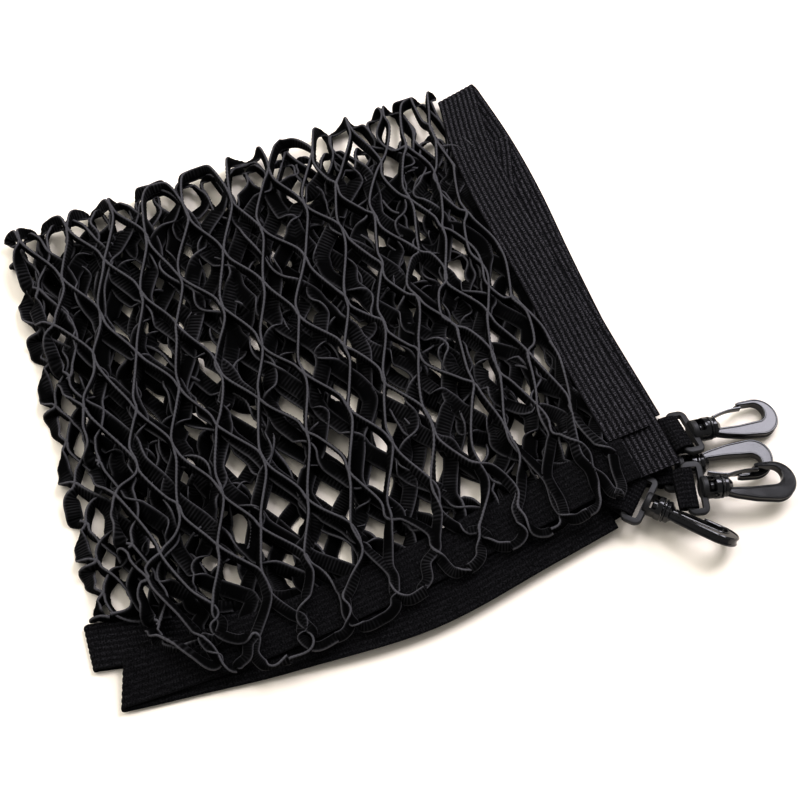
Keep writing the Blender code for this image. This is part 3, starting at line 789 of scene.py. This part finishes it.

# %% [markdown]
# ## Webbing
# The square is bound with four lengths of ribbed elastic webbing, one to a side, and each of them
# is folded in half with the cloth. The section has eight ribs on both faces. The line goes out
# along the lower layer, over in a half round, and back along the upper one, as the solid does. Some
# folds lie askew. The ribs' crests are painted lighter, a painted highlight, and the grooves darker,
# painted shade; the front webbing gets a weaker painted highlight, a painted shade.

# %% Bands of webbing
WEB_RIBS, RIB_POINTS, WEB_SHARP = 8, 3, 50
WEB_RELIEF, TAB_RELIEF = 0.00040, 0.00015
BAND_STEP, BAND_FOLD_RINGS = 0.0050, 14
SKEW_FADE = 0.060  # over which a fold's slant dies out
# Each band's last number is its painted sheen: how strongly the crests of its ribs are painted lighter, a
# painted highlight; the front bands get less, a painted shade.
Turn = namedtuple("Turn", "name lower upper line turn end outwards skew gleam")
BANDS = (
    Turn("band_right", 0, 3, right_line, "turn_y", "end_y", (0, 1, 0), (0, 0.2, 0), 1.0),
    Turn("band_left", 1, 2, right_line, "turn_y", "end_y", (0, 1.4, 0), (0, 0, 0), 1.0),
    Turn("band_foot", 0, 1, front_line, "turn_x", "end_x", (-1.6, 0, 0), (0.12, 0, 0), 0.6),
    Turn("band_head", 2, 3, front_line, "turn_x", "end_x", (-1.6, 0, 0), (0.42, 0, 0), 0.5),
)


def web_section(ribs, relief, width, thick):
    """Points round a ribbed section: place across it, place above its middle, and 1 on a crest, painted
    lighter as a highlight, or 0 in a groove, painted darker as shade.
    """
    count = RIB_POINTS * ribs
    rows = []
    for i in range(count + 1):
        crest = i % RIB_POINTS != 0
        half = thick / 2 - (0 if crest else relief)
        rows.append((width * (0.5 - i / count), half, float(crest)))
    return rows + [(-place, -half, ridge) for place, half, ridge in rows]


def web_tube(line, across, ribs, relief, width, thick, gleam):
    """Webbing along a line: rings of the ribbed section, with the marks that its finish reads: how far
    along it is, and the painted highlight on its rib crests, scaled by the band's painted sheen.
    """
    section = np.array(web_section(ribs, relief, width, thick))
    above = unit(np.cross(directions(line), across))
    shifts = section[:, 0, None, None] * across + section[:, 1, None, None] * above
    bm = tube(np.moveaxis(line + shifts, 0, 1))
    lengths = distances(line)
    ring, side = (bm.verts.layers.int[name] for name in ("ring", "side"))
    # Painted highlight on the rib crests, scaled by the band's painted sheen, and painted shade in the
    # grooves.
    mark(bm, "ridge", lambda vert: section[vert[side], 2] * gleam)
    mark(bm, "along", lambda vert: lengths[vert[ring]])
    return bm


def band_line(band):
    """The middle line of one band and the way across it, as arrays."""
    legs = []
    for layer in (band.lower, band.upper):
        start, stop = getattr(LAYERS[layer], band.turn), getattr(LAYERS[layer], band.end)
        count = math.ceil(abs(stop - start) / BAND_STEP)
        at = np.linspace(start, stop, count + 1)
        middle, across = band.line(layer, at)
        near_fold = 1 - ease(0.0, SKEW_FADE, np.abs(at - start))
        across = across + near_fold[:, None] * np.array(band.skew)
        legs.append((middle + (0, 0, WEB_THICK / 2), across))
    (lower, lower_across), (upper, upper_across) = legs
    angles = np.linspace(0, math.pi, BAND_FOLD_RINGS + 2)[1:-1, None]
    centre, half = (lower[0] + upper[0]) / 2, (upper[0] - lower[0]) / 2
    reach = np.array(band.outwards) * np.linalg.norm(half)
    fold = centre - half * np.cos(angles) + reach * np.sin(angles)
    line = np.concatenate((lower[::-1], fold, upper))
    across = np.concatenate(
        (lower_across[::-1], np.repeat(lower_across[:1], len(fold), axis=0), upper_across)
    )
    return line - MIDDLE, across


band_pieces = []
for band in BANDS:
    bm = web_tube(*band_line(band), WEB_RIBS, WEB_RELIEF, WEB_WIDTH, WEB_THICK, band.gleam)
    piece = finished(band.name + "_webbing", bm, webbing.material, WEB_SHARP)
    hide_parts(band.name)
    band_pieces.append(piece)
    print(piece.name, len(piece.data.polygons), "faces")

# %% [markdown]
# ## Hooks
# Each corner has a swivel hook: an eye with a long slot for the webbing tab, a yoke with a window
# where the pin's head shows, and a turning half with a collar, a flat J and a thin springy gate.
# They are built along the X axis with the swivel at zero, and then turned into place.

# %% Where the hooks lie
Hook = namedtuple("Hook", "number x y z heading dip roll spin back_x back_y back_z")
HOOKS = (
    Hook(1, 0.3678, -0.3332, 0.0123, -6.0, 10, -12, 0, 0.3392, -0.3290, 0.0155),
    Hook(2, 0.3501, -0.3516, 0.0079, -17.0, 2, 3, 180, 0.3165, -0.3385, 0.0062),
    Hook(3, 0.3529, -0.3750, 0.0168, -15.5, 6, 8, 0, 0.3250, -0.3680, 0.0200),
    Hook(4, 0.3138, -0.3740, 0.0130, -50.0, 0.5, 0, -50, 0.2900, -0.3440, 0.0115),
)
EYE_WIDTH, EYE_BAR, EYE_THICK, EYE_BEVEL = 0.036, 0.0035, 0.0036, 0.0010
SLOT_WIDTH, SLOT_LENGTH = 0.028, 0.0068
RAIL, END_WALL = 0.0040, 0.0040
YOKE_RADIUS, COLLAR_RADIUS = 0.0077, 0.0076
WINDOW_WIDTH, WINDOW_LENGTH = 0.0100, 0.0052
EYE_CORNER, SLOT_CORNER, WINDOW_CORNER = 0.0050, 0.0010, 0.0009
PIN_RADIUS, HEAD_RADIUS = 0.0026, 0.0042
RUNNING_GAP = 0.0004
RAIL_BACK = -(END_WALL + WINDOW_LENGTH + RAIL)
SLOT_BACK = RAIL_BACK - SLOT_LENGTH
BAR_MIDDLE = SLOT_BACK - EYE_BAR / 2
HOOK_LENGTH, HOOK_WIDTH, HOOK_THICK = 0.0500, 0.0270, 0.0060
LEG_INNER, LEG_ROOT, NOSE_X = -0.0028, -0.0072, 0.0250
BEND_X = HOOK_LENGTH - HOOK_WIDTH / 2
GATE_ROOT_X, GATE_ROOT_Y = 0.0063, 0.0068


def turn_matrix(*degrees):
    """A turn about X, then Y, then Z."""
    about_x, about_y, about_z = (
        Matrix.Rotation(math.radians(angle), 4, axis) for angle, axis in zip(degrees, "XYZ")
    )
    return about_z @ about_y @ about_x


def hook_frames(hook):
    """The places of a hook's eye half and of its turning half."""
    place = Vector((hook.x, hook.y, hook.z)) - Vector(MIDDLE)
    fixed = Matrix.Translation(place) @ turn_matrix(hook.roll, hook.dip, hook.heading)
    return fixed, fixed @ turn_matrix(hook.spin - hook.roll, 0, 0)


print("hook 1's swivel:", [round(c, 4) for c in hook_frames(HOOKS[0])[0].translation])


# %% Turned and flat shapes
def arc(centre_x, centre_y, radius, start, stop, steps):
    """Points of an arc, in degrees, counter-clockwise when stop is above start."""
    angles = [math.radians(mix(start, stop, i / steps)) for i in range(steps + 1)]
    return [(centre_x + radius * math.cos(t), centre_y + radius * math.sin(t)) for t in angles]


def inside(radius, rows):
    """Rows of place and radius, from rows of place and how far inside a radius it is."""
    return [(place, radius - inset) for place, inset in rows]


def turned(profile, sides=48):
    """A round shape about the X axis, from rows of place along it and radius."""
    bm = bmesh.new()
    verts = [bm.verts.new((x, radius, 0)) for x, radius in profile]
    edges = [bm.edges.new(pair) for pair in zip(verts, verts[1:])]
    bmesh.ops.spin(bm, geom=verts + edges, axis=(1, 0, 0), angle=math.tau, steps=sides, use_merge=True)
    bmesh.ops.remove_doubles(bm, verts=bm.verts, dist=1e-6)
    bmesh.ops.holes_fill(bm, edges=[edge for edge in bm.edges if edge.is_boundary], sides=0)
    bmesh.ops.recalc_face_normals(bm, faces=bm.faces)
    return bm


def rounded_plate(left, right, width, corner, steps, thickness, bevel=0.0):
    """A flat box with round corners and soft edges, half of it above its own plane."""
    left, right, side = left + corner, right - corner, width / 2 - corner
    outline = []
    for quarter, centre in enumerate(((right, side), (left, side), (left, -side), (right, -side))):
        outline += arc(*centre, corner, 90 * quarter, 90 * (quarter + 1), steps)
    bm = bmesh.new()
    face = bm.faces.new([bm.verts.new((x, y, -thickness / 2)) for x, y in outline])
    raised = bmesh.ops.extrude_face_region(bm, geom=[face])["geom"]
    tops = [item for item in raised if isinstance(item, bmesh.types.BMVert)]
    bmesh.ops.translate(bm, verts=tops, vec=(0, 0, thickness))
    bmesh.ops.recalc_face_normals(bm, faces=bm.faces)
    if bevel:
        rims = [edge for edge in bm.edges if abs(edge.verts[0].co.z - edge.verts[1].co.z) < 1e-7]
        bmesh.ops.bevel(
            bm, geom=rims, offset=bevel, segments=3, affect="EDGES", profile=0.5, material=-1
        )
    return bm


def combined(base, *steps):
    """Joins and cuts closed shapes: each step is an operation and the bmesh that it uses."""
    made = finished("base", base, plastic.material)
    for operation, bm in steps:
        other = finished("other", bm, plastic.material)
        cut = made.modifiers.new("cut", "BOOLEAN")
        cut.operation, cut.object, cut.solver = operation, other, "EXACT"
    bpy.context.view_layer.update()
    shaped = made.evaluated_get(bpy.context.evaluated_depsgraph_get())
    result = bmesh.new()
    result.from_mesh(shaped.to_mesh())
    shaped.to_mesh_clear()
    for leftover in [made, *(modifier.object for modifier in made.modifiers)]:
        bpy.data.objects.remove(leftover)
    return result


# %% The eye and its yoke
YOKE_ROWS = (  # place along the axis, and how far inside the yoke's radius
    (RAIL_BACK + 0.0006, 0.0012),
    (RAIL_BACK + 0.0014, 0.0004),
    (-END_WALL - WINDOW_LENGTH, 0.0004),
    (-END_WALL - 0.0006, 0.0004),
    (-END_WALL, 0.0001),
    (-END_WALL + 0.0005, 0.0),
    (-RUNNING_GAP / 2 - 0.0006, 0.0),
    (-RUNNING_GAP / 2, 0.0005),
)


def eye_shape():
    back, front = SLOT_BACK - EYE_BAR, RAIL_BACK + RAIL
    eye = rounded_plate(back, front, EYE_WIDTH, EYE_CORNER, 8, EYE_THICK, EYE_BEVEL)
    slot = rounded_plate(SLOT_BACK, RAIL_BACK, SLOT_WIDTH, SLOT_CORNER, 4, 3 * EYE_THICK)
    back, front = -END_WALL - WINDOW_LENGTH, -END_WALL
    window = rounded_plate(back, front, WINDOW_WIDTH, WINDOW_CORNER, 4, 4 * YOKE_RADIUS)
    yoke = turned(inside(YOKE_RADIUS, YOKE_ROWS))
    hole = turned(inside(PIN_RADIUS + RUNNING_GAP, ((-END_WALL - 0.001, 0), (0.001, 0))), 32)
    cuts = [("DIFFERENCE", cut) for cut in (slot, window, hole)]
    return combined(eye, ("UNION", yoke), *cuts)


# %% The turning half
STEM_STEPS, BEND_STEPS, NOSE_STEPS = 14, 26, 12
LIP_WIDE, LIP_HIGH, LIP_ROUND = 0.0011, 0.00045, 0.0006
LIP_LIMIT = 0.42  # the largest share of the width that a lip takes
HOOK_TOP = HOOK_THICK / 2
LIP_ROWS = (  # how far in from an edge of the J, and the height there
    (0.0, HOOK_TOP - LIP_ROUND),
    (LIP_ROUND, HOOK_TOP),
    (LIP_WIDE, HOOK_TOP),
    (LIP_WIDE + LIP_HIGH, HOOK_TOP - LIP_HIGH),
)
GROOVE_ROWS = ((0.0, HOOK_TOP - 0.0014), (0.0006, HOOK_TOP - 0.0018))
COLLAR_ROWS = (
    (RUNNING_GAP / 2, 0.0004),
    (0.0006, 0.0),
    (0.0013, 0.0),
    (0.0017, 0.0003),
    (0.0019, 0.0010),
    (0.0022, 0.0007),
    (0.0040, 0.0005),
    (0.0047, 0.0009),
    (0.0054, 0.0021),
    (0.0078, 0.0044),
)


def j_edges():
    """The J's inner and outer edge, as arrays of points in step with each other."""
    half = HOOK_WIDTH / 2
    stems = (
        [(0.0035, LEG_INNER + 0.0006), (0.0200, LEG_INNER - 0.0004), (BEND_X - 0.0010, LEG_INNER)],
        [
            (0.0035, LEG_ROOT + 0.0012),
            (0.0100, LEG_ROOT - 0.0012),
            (0.0220, LEG_ROOT - 0.0043),
            (BEND_X, -half),
        ],
    )
    bends = (
        arc(BEND_X - 0.0010, 0.0037, 0.0065, -90, 80, BEND_STEPS),
        arc(BEND_X, 0, half, -90, 90, BEND_STEPS),
    )
    nose_insets = (0.0029, 0.0026), (0.0002, 0.0008)
    edges = []
    for stem, bend, (before, end) in zip(stems, bends, nose_insets):
        nose = [bend[-1], (NOSE_X + 0.0030, half - before), (NOSE_X + 0.0004, half - end)]
        stem, nose = evenly(np.array(stem), STEM_STEPS + 1), evenly(np.array(nose), NOSE_STEPS + 1)
        edges.append(np.concatenate((stem[:-1], bend[:-1], nose)))
    return edges


def j_shape():
    """The flat J, with a raised lip along both edges of both faces and a groove in its rim."""
    inner, outer = j_edges()
    across = outer - inner
    width = np.linalg.norm(across, axis=1)
    across = across / width[:, None]
    rows = [(inner, across, *row) for row in LIP_ROWS]
    rows += [(outer, -across, *row) for row in (*reversed(LIP_ROWS), *GROOVE_ROWS)]
    rows += [(*row[:3], -row[3]) for row in reversed(rows)]
    sides = []
    for edge, inwards, inset, height in rows:
        place = edge + inwards * np.minimum(inset, LIP_LIMIT * width)[:, None]
        sides.append(np.column_stack((place, np.full(len(place), height))))
    return tube(np.stack(sides, axis=1))


def body_shape():
    head_back = -END_WALL - RUNNING_GAP
    pin = (
        (head_back - 0.0030, HEAD_RADIUS - 0.0007),
        (head_back - 0.0024, HEAD_RADIUS),
        (head_back, HEAD_RADIUS),
        (head_back, PIN_RADIUS),
        (RUNNING_GAP / 2, PIN_RADIUS),
    )
    collar = turned([*pin, *inside(COLLAR_RADIUS, COLLAR_ROWS)])
    return combined(j_shape(), ("UNION", collar))


GATE_STEPS, GATE_ARCH = 20, 0.0011
GATE_HALF_THICK, GATE_HALF_HIGH = 0.0007, 0.0023
GATE_SECTION = ((1, 0.75), (0.6, 1), (-0.6, 1), (-1, 0.75), (-1, -0.75), (-0.6, -1), (0.6, -1), (1, -0.75))


def gate_shape():
    """The springy leaf, a little arched, from the collar to inside the nose."""
    reach_x = NOSE_X + 0.0028 - GATE_ROOT_X
    reach_y = HOOK_WIDTH / 2 - 0.0041 - GATE_ROOT_Y
    t = np.linspace(0, 1, GATE_STEPS + 1)
    arch = np.sin(math.pi * t)
    line = points(GATE_ROOT_X + reach_x * t, GATE_ROOT_Y + reach_y * t + GATE_ARCH * arch, 0)
    half_thick = GATE_HALF_THICK * (1.1 - 0.35 * arch**2)
    ahead = directions(line)
    out = points(-ahead[:, 1], ahead[:, 0], 0)
    sides = []
    for x, y in GATE_SECTION:
        sides.append(line + out * (half_thick * x)[:, None] + (0, 0, GATE_HALF_HIGH * y))
    return tube(np.stack(sides, axis=1))


# %% All four hooks
HOOK_SHARP = 32  # degrees, from which an edge is drawn sharp
MATT_TO = RAIL_BACK + RAIL + EYE_BAR  # where an eye's matt part ends
for hook in HOOKS:
    fixed, turning = hook_frames(hook)
    parts = (
        ("eye", eye_shape, fixed, BODY),
        ("body", body_shape, turning, f"hook_{hook.number}"),
        ("gate", gate_shape, turning, f"gate_{hook.number}"),
    )
    for part, shape, where, rides_on in parts:
        bm = shape()
        mark(bm, "matt", lambda vert: part == "eye" and vert.co.x < MATT_TO)
        bmesh.ops.transform(bm, matrix=where, verts=bm.verts)
        node = f"hook_{hook.number}_{part}"
        piece = finished(node + "_moulded", bm, plastic.material, HOOK_SHARP)
        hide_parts(node)
        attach(piece, rides_on)
    print("hook", hook.number, "is made")

# %% [markdown]
# ## Corner tabs
# A short loop of narrower webbing holds each eye. It comes from the corner of the cloth, wraps
# round the bar of the eye and goes back.

# %% Tabs
# The last of these numbers is the tabs' painted sheen: how strongly their rib crests are painted lighter,
# a painted highlight.
TAB_WIDTH, TAB_REACH, TAB_KNEE, TAB_RIBS, TAB_PAINTED_SHEEN = 0.0265, 0.0050, 0.0025, 9, 0.6
TAB_RINGS = 12  # in a leg, and in the bend
TAB_CLOSED_GAP = WEB_THICK / 2 + 0.0003
TAB_CLOSING = (0.0, 0.0050)  # metres behind the knee where the tab's legs close


def tab_line(hook):
    """The middle line of a tab and the way across it: back, round the bar, and back again."""
    fixed = hook_frames(hook)[0]
    ahead, across, up = (Vector(fixed.col[i][:3]) for i in range(3))
    front = fixed @ Vector((BAR_MIDDLE, 0, 0))
    back = Vector((hook.back_x, hook.back_y, hook.back_z)) - Vector(MIDDLE)
    level = Vector((across.x, across.y, 0)).normalized()
    open_gap = EYE_THICK / 2 + RUNNING_GAP + WEB_THICK / 2
    knee = front - ahead * TAB_KNEE
    length = (back - knee).length
    home = Vector((back.x - knee.x, back.y - knee.y, 0)).normalized() * length
    ends = knee, -ahead * length, back, home
    lower, upper = [], []
    for share in np.linspace(1, 0, TAB_RINGS):
        middle, way = cubic(*ends, share), cubic_way(*ends, share)
        lying = across.lerp(level, share)
        gap = mix(open_gap, TAB_CLOSED_GAP, float(ease(*TAB_CLOSING, share * length)))
        off = lying.cross(way).normalized() * gap
        lower.append((middle - off, lying))
        upper.insert(0, (middle + off, lying))
    bend = []
    for angle in np.linspace(0, math.pi, TAB_RINGS + 2)[1:-1]:
        lift, reach = -open_gap * math.cos(angle), TAB_REACH * math.sin(angle)
        bend.append((front + up * lift + ahead * reach, across))
    path = [*lower, *bend, *upper]
    return np.array([point for point, _ in path]), np.array([way for _, way in path])


tab_pieces, tab_lengths = [], []
for hook in HOOKS:
    line, across = tab_line(hook)
    bm = web_tube(line, across, TAB_RIBS, TAB_RELIEF, TAB_WIDTH, WEB_THICK, TAB_PAINTED_SHEEN)
    piece = finished(f"tab_{hook.number}_webbing", bm, webbing.material, WEB_SHARP)
    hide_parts(f"tab_{hook.number}")
    tab_pieces.append(piece)
    tab_lengths.append(round(float(distances(line)[-1]), 3))
    print(piece.name, "is", tab_lengths[-1], "m long")

# %% [markdown]
# ## What each piece stands for
# The cloth all rides on the packet. Each layer of the net is a quarter of one square.

for piece in net_pieces:
    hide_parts("net")
    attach(piece, BODY)
for piece in band_pieces + tab_pieces:
    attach(piece, BODY)
print("sheets:", len(net_pieces) + len(band_pieces) + len(tab_pieces))

# %% [markdown]
# ## Floor and light
# The ground is a plain pale sheet, lit from above so evenly that it burns out to white. Only the
# shade near the net shows that it is a warm white.

# %% Floor
FLOOR_SIDE = 6.0
FLOOR_COLOUR, FLOOR_DARKER = (0.92, 0.86, 0.76), (0.90, 0.84, 0.73)
FLOOR_DROP = 0.0002

floor_finish = Finish("pale_floor", 0.9, specular=0.1)
mottle = floor_finish.speckle(3.0)
floor_finish.feed("Base Color", floor_finish.blend(mottle * 0.3, FLOOR_COLOUR, FLOOR_DARKER))
floor_bm = bmesh.new()
bmesh.ops.create_grid(floor_bm, x_segments=1, y_segments=1, size=FLOOR_SIDE / 2)
bmesh.ops.translate(floor_bm, verts=floor_bm.verts, vec=(0, 0, -FLOOR_DROP))
finished("floor", floor_bm, floor_finish.material)

# %% Light
# Two panels stand side by side where the hooks' flat faces mirror them. The narrow gap between
# them is what the third hook's face mirrors, so it alone stays black.
Lamp = namedtuple("Lamp", "name place width height power colour")
PANEL_LINE = Vector((0.75, 0.0, -0.66))
GAP_PLACE = Vector((1.105, 0.391, 1.341))
PANEL_WIDTH, GAP = 0.50, 0.24
shift = PANEL_LINE.normalized() * (PANEL_WIDTH + GAP) / 2
COOL, WARM = (0.93, 0.91, 1.0), (1.0, 0.985, 0.97)
LAMPS = (
    Lamp("panel_low", GAP_PLACE + shift, PANEL_WIDTH, 0.90, 17, COOL),
    Lamp("panel_high", GAP_PLACE - shift, PANEL_WIDTH, 0.90, 17, COOL),
    Lamp("softbox_back", Vector((-0.90, 1.10, 1.25)), 2.40, 2.40, 42, WARM),
)
for lamp in LAMPS:
    data = bpy.data.lights.new(lamp.name, "AREA")
    data.shape, data.size, data.size_y = "RECTANGLE", lamp.width, lamp.height
    data.energy, data.color = lamp.power, lamp.colour
    away = lamp.place.normalized()
    beside = (PANEL_LINE - PANEL_LINE.project(away)).normalized()
    turn = Matrix((beside, away.cross(beside), away)).transposed()
    light_object = placed(lamp.name, data)
    light_object.location = lamp.place
    light_object.rotation_euler = turn.to_euler()

world = bpy.data.worlds.new("studio")
bpy.context.scene.world = world
world.use_nodes = True
background = world.node_tree.nodes["Background"]
background.inputs["Color"].default_value = (1.0, 0.99, 0.985, 1.0)
background.inputs["Strength"].default_value = 0.48
settings = bpy.context.scene.view_settings
settings.view_transform = "Standard"
settings.exposure, settings.gamma = 0.1, 0.8
print("lamps:", len(LAMPS))
